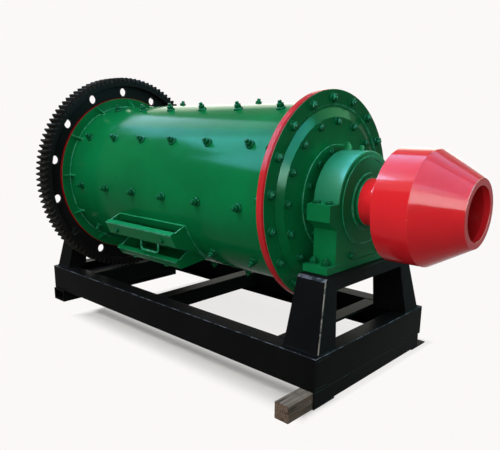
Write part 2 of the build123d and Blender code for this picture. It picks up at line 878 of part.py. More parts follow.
pedestals = {
    "gear": (
        gear_pedestal_x1,
        gear_pedestal_x0,
        gear_pedestal_x1 - gear_pedestal_top_width,
    ),
    "feed": (
        feed_pedestal_x0,
        feed_pedestal_x1,
        feed_pedestal_x0 + feed_pedestal_top_width,
    ),
}
for end_name, (inner_x, foot_x, top_x) in pedestals.items():
    nodes["pedestal_leg_front_" + end_name] = pedestal_leg(-1, inner_x, foot_x, top_x)
    nodes["pedestal_leg_back_" + end_name] = pedestal_leg(1, inner_x, foot_x, top_x)
    nodes["pedestal_beam_" + end_name] = pedestal_beam(inner_x, foot_x, top_x)

os.makedirs("parts", exist_ok=True)
for name, shape in nodes.items():
    shape.label = name
    export_step(shape, os.path.join("parts", name + ".step"))
print(len(nodes), "nodes written")
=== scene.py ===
# %% [markdown]
# # A small ball mill
# A ball mill is a steel drum that turns on two hollow journals while loose steel balls inside it crush ore.
# The packed model gives every piece at its real size. This lesson gives the pieces their finish: eased
# edges, paint, welds, bolts, weathered timber, and then a floor, lamps and a camera. Lengths are metres, +Z
# is up, the drum's axis lies along X, and the hatch is on the -Y side.

# %% Load the packed mill
import json
import math
import random

import bmesh
import bpy
from mathutils import Matrix, Vector

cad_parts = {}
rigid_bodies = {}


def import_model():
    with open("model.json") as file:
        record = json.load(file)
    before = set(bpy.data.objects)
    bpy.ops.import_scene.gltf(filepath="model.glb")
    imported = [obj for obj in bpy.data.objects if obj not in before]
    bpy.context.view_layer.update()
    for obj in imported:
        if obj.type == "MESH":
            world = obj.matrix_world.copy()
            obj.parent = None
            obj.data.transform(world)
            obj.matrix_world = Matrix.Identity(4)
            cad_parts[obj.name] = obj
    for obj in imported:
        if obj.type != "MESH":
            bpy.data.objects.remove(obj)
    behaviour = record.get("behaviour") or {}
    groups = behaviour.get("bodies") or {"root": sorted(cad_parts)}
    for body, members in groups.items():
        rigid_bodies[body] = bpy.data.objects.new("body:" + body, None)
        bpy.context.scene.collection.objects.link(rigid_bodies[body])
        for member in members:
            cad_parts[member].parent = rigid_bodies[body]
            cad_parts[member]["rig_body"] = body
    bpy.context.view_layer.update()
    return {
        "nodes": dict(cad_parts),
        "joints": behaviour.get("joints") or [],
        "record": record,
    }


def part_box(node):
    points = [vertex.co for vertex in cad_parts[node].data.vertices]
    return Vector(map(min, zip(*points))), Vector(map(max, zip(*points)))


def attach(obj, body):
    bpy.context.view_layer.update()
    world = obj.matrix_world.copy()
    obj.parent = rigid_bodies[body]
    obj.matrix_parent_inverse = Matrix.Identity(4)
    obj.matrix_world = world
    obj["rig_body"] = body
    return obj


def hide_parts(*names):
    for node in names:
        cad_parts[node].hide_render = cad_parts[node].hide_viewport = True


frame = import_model()
nodes = frame["nodes"]

# %% [markdown]
# Sizes that the finish needs are measured on the packed pieces, so that the bolts and welds stay where the
# steel is even if a drawing changes. The joint gives the drum's axis, and a round piece's box gives its
# radius.

# %% Measure the drum
axis_z = frame["joints"][0]["pos_m"][2]


def span_x(node):
    """The lowest and highest X of a piece."""
    low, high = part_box(node)
    return low.x, high.x


def outer_radius(node):
    """The radius of a piece that is round about the drum's axis."""
    low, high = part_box(node)
    return (high.z - low.z) / 2


def reach_x(node, beyond):
    """The lowest and highest X of a piece's corners that lie beyond a radius."""
    corners = [v.co for v in nodes[node].data.vertices]
    xs = [c.x for c in corners if math.hypot(c.y, c.z - axis_z) > beyond]
    return min(xs), max(xs)


shell_x0, shell_x1 = span_x("drum_shell")
shell_radius = outer_radius("drum_shell")
flange_radius = outer_radius("flange_feed_end")
hub_radius = outer_radius("trunnion_feed")
print("drum axis at", round(axis_z, 3), "shell radius", round(shell_radius, 3))

# %% [markdown]
# A shader is a small sum. Blender draws it as boxes and wires, but it reads better as an expression, so a
# Wire stands for one output socket and adds a Math node whenever it meets an operator. The reflected forms
# make `1 - mask` work as well as `mask - 1`.


# %% A wire that can be used in sums
class Wire:
    """One output socket of a finish, which Python's operators can add to, scale and compare."""

    def __init__(self, finish, socket):
        self.finish = finish
        self.socket = socket

    def maths(self, operation, first, second):
        return self.finish.node("ShaderNodeMath", {"operation": operation}, {0: first, 1: second})

    def __add__(self, other):
        return self.maths("ADD", self, other)

    def __radd__(self, other):
        return self.maths("ADD", other, self)

    def __sub__(self, other):
        return self.maths("SUBTRACT", self, other)

    def __rsub__(self, other):
        return self.maths("SUBTRACT", other, self)

    def __mul__(self, other):
        return self.maths("MULTIPLY", self, other)

    def __rmul__(self, other):
        return self.maths("MULTIPLY", other, self)

    def __gt__(self, other):
        return self.maths("GREATER_THAN", self, other)

    def larger(self, other):
        return self.maths("MAXIMUM", self, other)


print("wires know the reflected forms", [name for name in vars(Wire) if name.startswith("__r")])

# %% [markdown]
# A Finish is one material. Its `node` method makes any node: the settings come first, because they decide
# which sockets the node has, and then each socket gets a number, a colour or a wire. A colour is written as
# red, green and blue, and the method adds the alpha. Colours are mixed in a Mix node, since a Math node
# would turn them grey.


# %% A finish that makes its own nodes
class Finish:
    """A material, or the world, and the nodes that it is wired from."""

    def __init__(self, owner):
        owner.use_nodes = True
        self.owner = owner
        self.tree = owner.node_tree
        self.tree.nodes.clear()

    def node(self, kind, settings=None, sockets=None, output=0):
        made = self.tree.nodes.new(kind)
        for name, value in (settings or {}).items():
            if name == "stops":
                set_stops(made.color_ramp, value)
            else:
                setattr(made, name, value)
        for name, value in (sockets or {}).items():
            socket = made.inputs[name]
            if isinstance(value, Wire):
                self.tree.links.new(value.socket, socket)
            else:
                socket.default_value = (*value, 1.0) if socket.type == "RGBA" else value
        return Wire(self, made.outputs[output]) if len(made.outputs) else made

    def colour_mix(self, factor, first, second):
        sockets = {0: factor, 6: first, 7: second}
        return self.node("ShaderNodeMix", {"data_type": "RGBA"}, sockets, output=2)

    def noise(self, place, scale, detail, rough):
        sockets = {"Vector": place, "Scale": scale, "Detail": detail, "Roughness": rough}
        return self.node("ShaderNodeTexNoise", {}, sockets, output="Fac")

    def ramp(self, factor, stops):
        return self.node("ShaderNodeValToRGB", {"stops": stops}, {"Fac": factor})

    def soft_step(self, value, low, high):
        settings = {"interpolation_type": "SMOOTHSTEP"}
        sockets = {"Value": value, "From Min": low, "From Max": high}
        return self.node("ShaderNodeMapRange", settings, sockets)

    def place(self):
        return self.node("ShaderNodeTexCoord", output="Object")

    def stretched(self, place, scale):
        return self.node("ShaderNodeMapping", {}, {"Vector": place, "Scale": scale})

    def part(self, vector, axis):
        return self.node("ShaderNodeSeparateXYZ", {}, {"Vector": vector}, output=axis)

    def bump(self, height, distance):
        return self.node("ShaderNodeBump", {}, {"Height": height, "Distance": distance})

    def surface(self, sockets):
        shader = self.node("ShaderNodeBsdfPrincipled", {}, sockets)
        self.node("ShaderNodeOutputMaterial", {}, {"Surface": shader})
        return self.owner


def set_stops(color_ramp, stops):
    """Gives a colour ramp its stops, each a position and a colour."""
    while len(color_ramp.elements) < len(stops):
        color_ramp.elements.new(1.0)
    for element, (position, colour) in zip(color_ramp.elements, stops):
        element.position = position
        element.color = (*colour, 1.0)


def grey(value):
    """A neutral colour."""
    return (value, value, value)


print("a finish can make", [name for name in vars(Finish) if not name.startswith("_")])

# %% [markdown]
# Sprayed machine enamel is not one flat colour. Coats differ in thickness, so the colour clouds a little;
# the sheet below is never quite flat, so reflections bend; and the dried spray leaves a fine orange peel.
# Noise gives each of them: a few decimetres across for the clouds and the dents, a millimetre or two for
# the peel. The specular level is mostly low, because the lamps that the paint mirrors are far brighter than
# white.


# %% Enamel for the painted steel
green_gloss = 0.013
red_gloss = 0.060
casting_gloss = 0.040
crown_gloss = 0.300
bolt_gloss = 0.024
dull_gloss = 0.004
sheet_wave = 0.0016
rim_wave = 0.0003


def enamel(name, colour, deep, rough, gloss, wave=sheet_wave):
    """A glossy sprayed paint whose reflections waver as they do on real sheet steel."""
    finish = Finish(bpy.data.materials.new(name))
    place = finish.place()
    cloud = finish.noise(place, scale=2.6, detail=4.0, rough=0.6)
    grime = finish.soft_step(finish.noise(place, scale=14.0, detail=5.0, rough=0.65), 0.52, 0.78)
    tone = finish.colour_mix(finish.soft_step(cloud, 0.35, 0.7), deep, colour)
    tone = finish.colour_mix(grime * 0.16, tone, deep)
    dents = finish.noise(place, scale=4.0, detail=2.0, rough=0.4)
    peel = finish.noise(place, scale=620.0, detail=1.0, rough=0.5)
    normal = finish.bump(dents + peel * 0.008, wave)
    return finish.surface(
        {
            "Base Color": tone,
            "Roughness": rough + grime * 0.10 + (cloud - 0.5) * 0.06,
            "Specular IOR Level": gloss,
            "Normal": normal,
        }
    )


green = enamel("green_enamel", (0.003, 0.185, 0.055), (0.003, 0.150, 0.044), 0.15, green_gloss)
red = enamel("red_enamel", (0.800, 0.023, 0.031), (0.730, 0.018, 0.025), 0.12, red_gloss)
casting = enamel("casting_green_enamel", (0.003, 0.180, 0.054), (0.003, 0.150, 0.044), 0.42, casting_gloss)
# The crown's green is lighter and more teal than the casting's: a painted sheen.
crown_with_painted_sheen = enamel("crown_painted_sheen_enamel", (0.010, 0.210, 0.098), (0.008, 0.180, 0.082), 0.36, crown_gloss)
# The bolts' green is darker than the drum's: a painted shade on the nuts.
shaded_bolt_green = enamel("shaded_bolt_enamel", (0.004, 0.128, 0.048), (0.003, 0.095, 0.034), 0.26, bolt_gloss)
rim_red = enamel(
    "rim_red_enamel", (0.560, 0.028, 0.034), (0.500, 0.022, 0.028), 0.15, green_gloss, wave=rim_wave
)
# A darker red, a painted shade, for the head's rim and the gear end's flange.
shaded_red = enamel(
    "shaded_red_enamel", (0.400, 0.012, 0.018), (0.330, 0.010, 0.014), 0.30, dull_gloss, wave=rim_wave
)
print("enamels:", [m.name for m in (green, red, casting, crown_with_painted_sheen, shaded_bolt_green, rim_red, shaded_red)])

# %% [markdown]
# The skid and the gear are brushed with a cheaper semi-gloss black, which dries with faint strokes and
# holds a little dust. Its reflections are broad and weak, so the roughness is higher and the specular level
# lower.


# %% Black paint for the skid and the gear
def black_paint(name, colour, dust, rough, specular):
    """A semi-gloss black with brush drag and a thin veil of dust."""
    finish = Finish(bpy.data.materials.new(name))
    place = finish.place()
    cloud = finish.noise(place, scale=4.0, detail=5.0, rough=0.6)
    specks = finish.soft_step(finish.noise(place, scale=46.0, detail=4.0, rough=0.7), 0.55, 0.8)
    tone = finish.colour_mix(finish.soft_step(cloud, 0.4, 0.8) * 0.5 + specks * 0.25, colour, dust)
    drag = finish.stretched(place, (6.0, 160.0, 160.0))
    strokes = finish.noise(drag, scale=1.0, detail=2.0, rough=0.5)
    normal = finish.bump(strokes * 0.12 + cloud, sheet_wave)
    return finish.surface(
        {
            "Base Color": tone,
            "Roughness": rough + specks * 0.15 + cloud * 0.06,
            "Specular IOR Level": specular,
            "Normal": normal,
        }
    )


frame_black = black_paint("frame_black_paint", (0.0046, 0.0048, 0.0051), grey(0.0085), 0.34, 0.008)
gear_black = black_paint("gear_black_paint", (0.0100, 0.0098, 0.0098), grey(0.0160), 0.40, 0.003)
print("black paints:", frame_black.name, gear_black.name)

# %% [markdown]
# Paint is thinnest on an edge. Slings and spanners scuff it there first, so every eased edge shows paler
# than the faces beside it, in broken runs rather than as an even line. The paler paint is also a painted
# highlight, standing for the light that a rounded edge catches, so it is partly wear and partly painted
# light.
# The eased strip of each piece takes a second material, in which a noise decides where the scuffs lie.


# %% Scuffed and highlit paint for the edges
def scuffed_and_highlit(name, colour, wear_and_highlight_tone, share, rough, specular):
    """Edge paint with broken, paler scuffs over a share of its length, partly wear and partly painted
    highlight.
    """
    finish = Finish(bpy.data.materials.new(name))
    place = finish.place()
    patches = finish.noise(place, scale=21.0, detail=5.0, rough=0.7)
    pale_from = 0.62 - 0.30 * share
    wear_and_highlight_mask = finish.soft_step(patches, pale_from, pale_from + 0.10)
    tone = finish.colour_mix(wear_and_highlight_mask, colour, wear_and_highlight_tone)
    normal = finish.bump(patches, 0.0008)
    return finish.surface(
        {
            "Base Color": tone,
            "Roughness": rough + wear_and_highlight_mask * 0.12,
            "Specular IOR Level": specular,
            "Normal": normal,
        }
    )


# Each edge paint is paler than its faces: partly wear, partly a painted highlight on the edge.
green_edge = scuffed_and_highlit("green_edge", (0.012, 0.230, 0.105), (0.070, 0.330, 0.200), 0.50, 0.22, 0.02)
red_edge = scuffed_and_highlit("red_edge", (0.740, 0.030, 0.038), (0.760, 0.180, 0.190), 0.15, 0.20, 0.08)
black_edge = scuffed_and_highlit("black_edge", grey(0.006), grey(0.016), 0.20, 0.34, 0.01)
gear_edge = scuffed_and_highlit("gear_edge", grey(0.020), (0.075, 0.074, 0.074), 0.50, 0.34, 0.02)
# Bluish and pale: wear on the upper edges, and a painted highlight of the sky above.
rail_edge_wear_and_highlight = scuffed_and_highlit("rail_edge_wear_and_highlight", (0.018, 0.021, 0.027), (0.110, 0.125, 0.160), 0.50, 0.30, 0.02)
corner_edge = scuffed_and_highlit("corner_edge", (0.040, 0.037, 0.034), (0.240, 0.215, 0.195), 0.60, 0.34, 0.02)
print("edge paints:", [m.name for m in (green_edge, red_edge, black_edge, gear_edge, rail_edge_wear_and_highlight, corner_edge)])

# %% [markdown]
# A drawn edge is perfectly sharp, and a real one never is: plate is ground, castings have a radius. The
# packed mesh comes as triangles with every face apart, so a copy is first welded and its flat faces are
# merged, and then the sharp edges are bevelled. The bevel's own faces take the second material slot.


# %% Copy a piece with eased edges
weld_distance = 0.00002
flat_angle = math.radians(0.3)
sharp_angle = math.radians(30.0)
ease_slot = 1


def eased_mesh(node, ease, steps, keep):
    """A bmesh of a packed piece with its sharp edges rounded off, but for those that keep names."""
    work = bmesh.new()
    work.from_mesh(nodes[node].data)
    bmesh.ops.remove_doubles(work, verts=work.verts, dist=weld_distance)
    bmesh.ops.dissolve_limit(work, angle_limit=flat_angle, verts=work.verts, edges=work.edges)
    sharp = [e for e in work.edges if len(e.link_faces) == 2 and e.calc_face_angle() > sharp_angle]
    if keep:
        sharp = [e for e in sharp if not keep(e)]
    bmesh.ops.bevel(
        work,
        geom=sharp,
        offset=ease,
        offset_type="OFFSET",
        segments=steps,
        profile=0.5,
        affect="EDGES",
        clamp_overlap=True,
        material=ease_slot,
    )
    return work


print("edges over", round(math.degrees(sharp_angle)), "degrees are eased")

# %% [markdown]
# A finished mesh is shaded smooth, and its folds stay crisp where two faces meet at more than a few
# degrees. The strip of an eased edge is allowed a wider angle, so that it shades as one soft round. The
# Weighted Normal modifier then keeps large flat faces flat. A dressed piece rides on its node's body and
# takes its slot.

# %% Put a finished piece in place
fold_angle = math.radians(13.0)
ease_fold_angle = math.radians(48.0)


def finish_mesh(work, name, materials):
    """Turns a bmesh into an object with smooth faces, crisp folds and soft eased edges."""
    for face in work.faces:
        face.smooth = True
    for edge in work.edges:
        if len(edge.link_faces) == 2:
            eased = any(face.material_index == ease_slot for face in edge.link_faces)
            edge.smooth = edge.calc_face_angle() < (ease_fold_angle if eased else fold_angle)
    mesh = bpy.data.meshes.new(name)
    work.to_mesh(mesh)
    work.free()
    for material in materials:
        mesh.materials.append(material)
    piece = bpy.data.objects.new(name, mesh)
    bpy.context.scene.collection.objects.link(piece)
    normals = piece.modifiers.new("face_normals", "WEIGHTED_NORMAL")
    normals.keep_sharp = True
    return piece


def body_of(node):
    """The name of the body that a packed piece belongs to."""
    return nodes[node]["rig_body"]


slot_of = {part["node"]: part["material_slot"] for part in frame["record"]["subparts"]}


def dress(node, ease, materials, steps=2, paint_faces=None, keep=None):
    """Puts an eased and painted copy in the place of a packed piece."""
    work = eased_mesh(node, ease, steps, keep)
    if paint_faces:
        paint_faces(work)
    piece = finish_mesh(work, node + "_finished", materials)
    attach(piece, body_of(node))
    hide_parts(node)


print(len(slot_of), "pieces to dress")

# %% [markdown]
# The skid is cut from rolled channel and tube. Slings and boots wear the upper outer edge of a rail and of
# an end beam, and those edges face up into the light, so only those strips, found by their place, take a
# paler, bluish paint, partly wear and partly a painted highlight; the other edges stay black.

# %% Skid
frame_pieces = [name for name, slot in slot_of.items() if slot == "frame_black"]
rail_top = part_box("rail_front")[1].z
frame_low_x, frame_high_x = span_x("rail_front")
frame_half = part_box("rail_back")[1].y
skid_ease = 0.0028
edge_reach = 0.004
accent_slot = 2


def paint_top_edges(work):
    """Gives the strips along the frame's upper outer edge the paler paint, partly wear and partly painted
    highlight.
    """
    for face in work.faces:
        middle = face.calc_center_median()
        end_x = min(abs(middle.x - frame_low_x), abs(middle.x - frame_high_x))
        side_y = abs(abs(middle.y) - frame_half)
        upper = middle.z > rail_top - edge_reach
        if face.material_index == ease_slot and upper and min(end_x, side_y) < edge_reach:
            face.material_index = accent_slot


# The upper outer edges get the painted highlight as well as wear.
for name in frame_pieces:
    if not name.startswith("pedestal"):
        dress(name, skid_ease, [frame_black, black_edge, rail_edge_wear_and_highlight], paint_faces=paint_top_edges)
print("skid dressed, rails", round(frame_high_x - frame_low_x, 3), "m long")

# %% [markdown]
# A pedestal is folded from one plate and welded shut, so its head and legs run into each other with no
# seam. The drawing has them as three solids, so the edges where they meet are left alone, and only the free
# ones are eased. The corner away from the drum is knocked bare and catches the light, so its paler paint is
# partly wear and partly painted highlight. The top edge is flattened, and because it looks up it takes the
# rails' pale bluish edge paint, a painted highlight.

# %% Pedestals
seam_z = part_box("pedestal_leg_front_feed")[1].z
seam_tolerance = 0.0005
pedestal_ease = 0.0040
top_highlight_slot = 3
side_facing = 0.1
end_facing = 0.2
slope_low, slope_high = 0.4, 0.9


def on_seam(edge):
    """Whether an edge lies in the plane where the head meets the legs."""
    return all(abs(v.co.z - seam_z) < seam_tolerance for v in edge.verts)


def paint_corner(work):
    """Gives the outer corner of a leg its paler paint, partly wear and partly painted highlight, and the
    flattened top edge, which looks up, a painted highlight.
    """
    for face in work.faces:
        middle = face.calc_center_median()
        outward_y = face.normal.y * middle.y
        outward_x = face.normal.x * middle.x
        if face.material_index == ease_slot and outward_y > side_facing and outward_x > end_facing:
            face.material_index = accent_slot
        elif slope_low < face.normal.z < slope_high and outward_y > side_facing:
            face.material_index = top_highlight_slot


pedestals = [name for name in frame_pieces if name.startswith("pedestal")]
for name in pedestals:
    # Third: the corner's paint, partly wear and partly painted highlight; fourth: the painted highlight on
    # the top edge.
    paints = [frame_black, black_edge, corner_edge, rail_edge_wear_and_highlight]
    dress(name, pedestal_ease, paints, paint_faces=paint_corner, keep=on_seam)
print(len(pedestals), "pedestal pieces")

# %% [markdown]
# The bearings are castings in the drum's colour. Sand leaves a coarser skin than rolled sheet, so the
# enamel on them is less sharp in its gloss, and their corners are rounder than cut plate. The round crown
# of a cap is turned smooth before it is painted, so it shines more than the rest; its faces are found by
# their radius. The crown's paint is also lighter and more teal than the casting's, a painted sheen.

# %% Bearings
bearing_pieces = [name for name, slot in slot_of.items() if slot == "bearing_green"]
casting_ease = 0.0035
fitting_ease = 0.0015
crown_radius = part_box("bearing_cap_feed")[1].z - axis_z
crown_lean = 0.3


def reach_of(face):
    """How far the middle of a face is from the drum's axis."""
    middle = face.calc_center_median()
    return math.hypot(middle.y, middle.z - axis_z)


def paint_crown(work):
    """Gives the faces round a cap, at its outer radius, the shinier slot, whose lighter teal colour is a
    painted sheen.
    """
    for face in work.faces:
        round_face = abs(face.normal.x) < crown_lean and face.calc_center_median().z > axis_z
        if round_face and abs(reach_of(face) - crown_radius) < casting_ease:
            face.material_index = accent_slot


for name in bearing_pieces:
    ease = fitting_ease if name == "grease_fittings" else casting_ease
    # The third slot is the crown's paint with its painted sheen.
    dress(name, ease, [casting, green_edge, crown_with_painted_sheen], paint_faces=paint_crown)
print(len(bearing_pieces), "bearing pieces")

# %% [markdown]
# The drum is green, but the edges of its end flanges are red, painted so that anyone near can see it turn.
# The rim's faces are found by their distance from the axis, and take a third material slot. The head's rim
# and the gear end's flange take a darker red, a painted shade.


# %% Drum, flanges and heads
edge_band = 0.010
rim_face_x = reach_x("head_feed", flange_radius - edge_band)[1]
rim_ease = 0.0022
sheet_ease = 0.0015
trunnion_ease = 0.0030
half_turned = 0.5


def paint_red_rim(work):
    """Gives the outermost faces of a flange or head the red slot, but for the edge of the head's own face."""
    for face in work.faces:
        around = face.material_index == ease_slot or abs(face.normal.x) < half_turned
        at_front = face.calc_center_median().x > rim_face_x - rim_ease
        front_edge = at_front and face.normal.x > half_turned
        if reach_of(face) > flange_radius - rim_ease and around and not front_edge:
            face.material_index = accent_slot


# The head's rim and the gear end's flange take the darker red, a painted shade.
rim_paints = {"flange_gear_end": shaded_red, "flange_feed_end": rim_red, "head_feed": shaded_red}
for name, paint in rim_paints.items():
    dress(name, rim_ease, [green, green_edge, paint], paint_faces=paint_red_rim)
for name in ("drum_shell", "gussets_gear_end", "gussets_feed_end", "head_gear"):
    dress(name, sheet_ease, [green, green_edge])
for name in ("trunnion_feed", "trunnion_gear"):
    dress(name, trunnion_ease, [green, green_edge])
print("drum dressed, red rims on", list(rim_paints))

# %% [markdown]
# The hatch is two welded troughs of folded sheet. Their rims are the brightest lines on the whole drum:
# hands and buckets rub them, and their edges catch the light, so their paler paint is partly wear and
# partly painted highlight. The lips of the upper trough that look up are a lighter green, a painted
# highlight. A rim is found by its shape: a face that is long and no wider than the sheet, or a narrow one
# that looks up.

# %% Hatch
sheet_width = 0.0085
lip_width = 0.036
lip_level = 0.7
handle_ease = 0.0010


def paint_rims(work):
    """Gives the sheet's own edges the paler paint, partly wear and partly painted highlight, and the lips
    that look up a brighter coat, a painted highlight.
    """
    for face in work.faces:
        width = face.calc_area() / max(e.calc_length() for e in face.edges)
        if width < sheet_width:
            face.material_index = ease_slot
        elif face.normal.z > lip_level and width < lip_width:
            face.material_index = accent_slot


# Rim paint is partly wear and partly painted highlight; the lip green is a painted highlight.
rubbed_and_highlit = scuffed_and_highlit("rubbed_highlit_green", (0.028, 0.280, 0.140), (0.095, 0.410, 0.280), 0.60, 0.25, 0.02)
lip_highlight_green = enamel("lip_highlight_enamel", (0.012, 0.300, 0.125), (0.008, 0.240, 0.095), 0.20, green_gloss)
for name, lip in (("hatch_upper_tray", lip_highlight_green), ("hatch_lower_tray", green), ("hatch_cover", green)):
    dress(name, sheet_ease, [green, rubbed_and_highlit, lip], paint_faces=paint_rims)
dress("hatch_handle", handle_ease, [green_edge, green_edge])
hatch_x0, hatch_x1 = span_x("hatch_upper_tray")
print("hatch dressed,", round(hatch_x1 - hatch_x0, 3), "m long")

# %% [markdown]
# The ring gear is cast and cut: the tooth flanks are machined, so each tooth has crisp edges that catch
# light. The teeth are painted lighter and browner than the web, a painted highlight of the light on their
# tips and flanks, under the same veil of dust. A tooth's faces are found by their radius, because every one
# lies outside the root circle and none of them looks along the axis.

# %% Ring gear
# The teeth's lighter, browner paint is a painted highlight.
tooth_highlight_paint = black_paint("tooth_highlight_paint", (0.020, 0.018, 0.016), (0.060, 0.053, 0.046), 0.45, 0.003)
tooth_depth = 0.0255
tooth_ease = 0.0010
root_radius = outer_radius("ring_gear") - tooth_depth


def paint_teeth(work):
    """Gives the flanks and tips of the teeth their own slot, painted lighter as a painted highlight."""
    for face in work.faces:
        across = abs(face.normal.x) < half_turned
        if face.material_index != ease_slot and across and reach_of(face) > root_radius:
            face.material_index = accent_slot


dress("ring_gear", tooth_ease, [gear_black, gear_edge, tooth_highlight_paint], steps=1, paint_faces=paint_teeth)
print("gear dressed, root radius", round(root_radius, 4))

# %% [markdown]
# The drum feeder is rolled sheet under red enamel. The cone and its thick mouth ring are ground flush, so
# the edges where they meet stay unbroken.

# %% Feeder
mouth_x = span_x("feeder_mouth_ring")[0]
cone_x1 = span_x("feeder_cone")[1]
feeder_ease = 0.0020


def on_mouth_seam(edge):
    """Whether an edge lies where the cone ends or the mouth ring starts."""
    return any(all(abs(v.co.x - x) < seam_tolerance for v in edge.verts) for x in (mouth_x, cone_x1))


for name in ("feeder_neck", "feeder_barrel", "feeder_cone", "feeder_mouth_ring"):
    dress(name, feeder_ease, [red, red_edge], steps=3, keep=on_mouth_seam)
print("feeder dressed, mouth ring starts at", round(mouth_x, 3))

# %% [markdown]
# One squared timber props the near corner. Old softwood goes grey where the weather reaches it, stays brown
# on its sides and in the checks, and the soft wood between the rings wears back. The grain runs along Y, so
# the noise that makes it is stretched that way, and the surface normal tells the top from the sides.


# %% Weathered timber
def weathered_timber():
    """Sawn softwood, grey on top and brown at the sides, with grain, checks and stains."""
    finish = Finish(bpy.data.materials.new("weathered_timber"))
    place = finish.place()
    normal_way = finish.node("ShaderNodeNewGeometry", output="Normal")
    top = finish.soft_step(finish.part(normal_way, "Z"), 0.5, 0.9)
    grain_place = finish.stretched(place, (120.0, 5.0, 120.0))
    grain = finish.noise(grain_place, scale=1.0, detail=6.0, rough=0.65)
    check_place = finish.stretched(place, (55.0, 3.0, 55.0))
    check = 1.0 - finish.soft_step(finish.noise(check_place, scale=1.0, detail=3.0, rough=0.5), 0.33, 0.40)
    stain = finish.soft_step(finish.noise(place, scale=16.0, detail=4.0, rough=0.6), 0.50, 0.72)
    brown_stops = [
        (0.25, (0.060, 0.040, 0.028)),
        (0.50, (0.155, 0.105, 0.074)),
        (0.75, (0.230, 0.170, 0.130)),
    ]
    grey_stops = [
        (0.25, (0.105, 0.088, 0.074)),
        (0.50, (0.195, 0.165, 0.142)),
        (0.75, (0.350, 0.320, 0.295)),
    ]
    tone = finish.colour_mix(top, finish.ramp(grain, brown_stops), finish.ramp(grain, grey_stops))
    tone = finish.colour_mix(stain * 0.55, tone, (0.052, 0.040, 0.032))
    tone = finish.colour_mix(check * 0.85, tone, (0.018, 0.013, 0.010))
    normal = finish.bump(grain - check * 0.9, 0.0022)
    return finish.surface(
        {"Base Color": tone, "Roughness": 0.86 - stain * 0.12, "Specular IOR Level": 0.02, "Normal": normal}
    )


timber = weathered_timber()
timber_ease = 0.0020
dress("timber_block", timber_ease, [timber, timber])
timber_low, timber_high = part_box("timber_block")
print("timber dressed,", round(timber_high.y - timber_low.y, 3), "m long")

# %% [markdown]
# More than a hundred bolts show on this mill, and they are what gives it scale. One fastener is three turned
# outlines stacked on one seat: a washer, a six-sided nut with its corners chamfered, and the end of the
# stud. They are all spun by one helper, because a hexagon is only a turning with six sides. A kind of bolt
# is given by six sizes: the width over its flats, the nut's height, the washer's radius and height, and the
# stud's radius and height above the nut.


# %% One bolt
def spin(work, seat, outline, sides, phase=0.0):
    """Adds a closed turning to a bmesh: an outline of (radius, height) spun about the seat's Z."""
    rings = []
    for radius, height in outline:
        if radius == 0.0:
            rings.append([work.verts.new(seat @ Vector((0.0, 0.0, height)))])
            continue
        ring = []
        for side in range(sides):
            turn = phase + 2.0 * math.pi * side / sides
            point = Vector((radius * math.cos(turn), radius * math.sin(turn), height))
            ring.append(work.verts.new(seat @ point))
        rings.append(ring)
    for lower, upper in zip(rings, rings[1:]):
        for side in range(sides):
            following = (side + 1) % sides
            if len(lower) == 1:
                work.faces.new((lower[0], upper[side], upper[following])[::-1])
            elif len(upper) == 1:
                work.faces.new((lower[side], lower[following], upper[0]))
            else:
                work.faces.new((lower[side], lower[following], upper[following], upper[side]))


nut_corner = 2.0 / math.sqrt(3.0)
washer_sides = 24
nut_sides = 6
stud_sides = 16


def bolt(work, seat, flats, nut_height, washer_reach, washer_height, stud_reach, stud_height, phase):
    """Adds a domed washer, a chamfered nut and a stud end, seated at the origin of seat."""
    outline = [
        (0.0, 0.0),
        (washer_reach, 0.0),
        (washer_reach, 0.4 * washer_height),
        (washer_reach - 0.25 * washer_height, 0.8 * washer_height),
        (washer_reach - 0.5 * washer_height, washer_height),
        (0.0, washer_height),
    ]
    spin(work, seat, outline, washer_sides)
    corner = flats / 2.0 * nut_corner
    chamfer = 0.10 * flats
    top = washer_height + nut_height
    outline = [
        (0.0, washer_height),
        (corner, washer_height),
        (corner, top - 0.6 * chamfer),
        (corner - chamfer, top),
        (0.0, top),
    ]
    spin(work, seat, outline, nut_sides, phase)
    if stud_height > 0.0:
        tip = top + stud_height
        rounding = 0.25 * stud_reach
        outline = [
            (0.0, top - rounding),
            (stud_reach, top - rounding),
            (stud_reach, tip - rounding),
            (stud_reach - rounding, tip),
            (0.0, tip),
        ]
        spin(work, seat, outline, stud_sides)


print("a bolt is spun with", washer_sides, nut_sides, "and", stud_sides, "sides")

# %% [markdown]
# A bolt needs a place to sit and a direction. On the drum, that is an angle above the front, a radius and a
# distance along the axis; the direction is outward for the shell's bolts and along X for those on the
# heads.


# %% Places on the drum
def outward(angle):
    """The direction away from the drum's axis, at an angle in degrees above its front."""
    turn = math.radians(angle)
    return Vector((0.0, -math.cos(turn), math.sin(turn)))


def seat_at(point, direction):
    """A frame at a point whose Z follows a direction."""
    turned = direction.to_track_quat("Z", "Y").to_matrix().to_4x4()
    return Matrix.Translation(point) @ turned


def drum_point(x, angle, radius):
    """A point by the drum, from its place along the axis, its angle and its radius."""
    return Vector((x, 0.0, axis_z)) + outward(angle) * radius


hex_turns = random.Random(11)


def hex_phase():
    """Nuts stop wherever they come tight, so each one has its own turn."""
    return hex_turns.uniform(0.0, 2.0 * math.pi / nut_sides)


def place_bolts(name, body, material, seats, sizes):
    """Makes one joined mesh of bolts that share a size."""
    work = bmesh.new()
    for seat in seats:
        bolt(work, seat, *sizes, hex_phase())
    piece = finish_mesh(work, name, [material])
    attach(piece, body)
    print(name, len(seats), "bolts,", len(piece.data.polygons), "faces")


print("the shell's front is at", [round(v, 3) for v in drum_point(shell_x0, 0.0, shell_radius)])

# %% [markdown]
# The liner plates inside the shell are held by rows of studs that come out through it, ten rows round and
# six bolts along, but for the row past the crown, which has fewer. The holes are laid out by hand, so the
# rows are not quite even. The hatch covers a few of the places, and those bolts are left out.

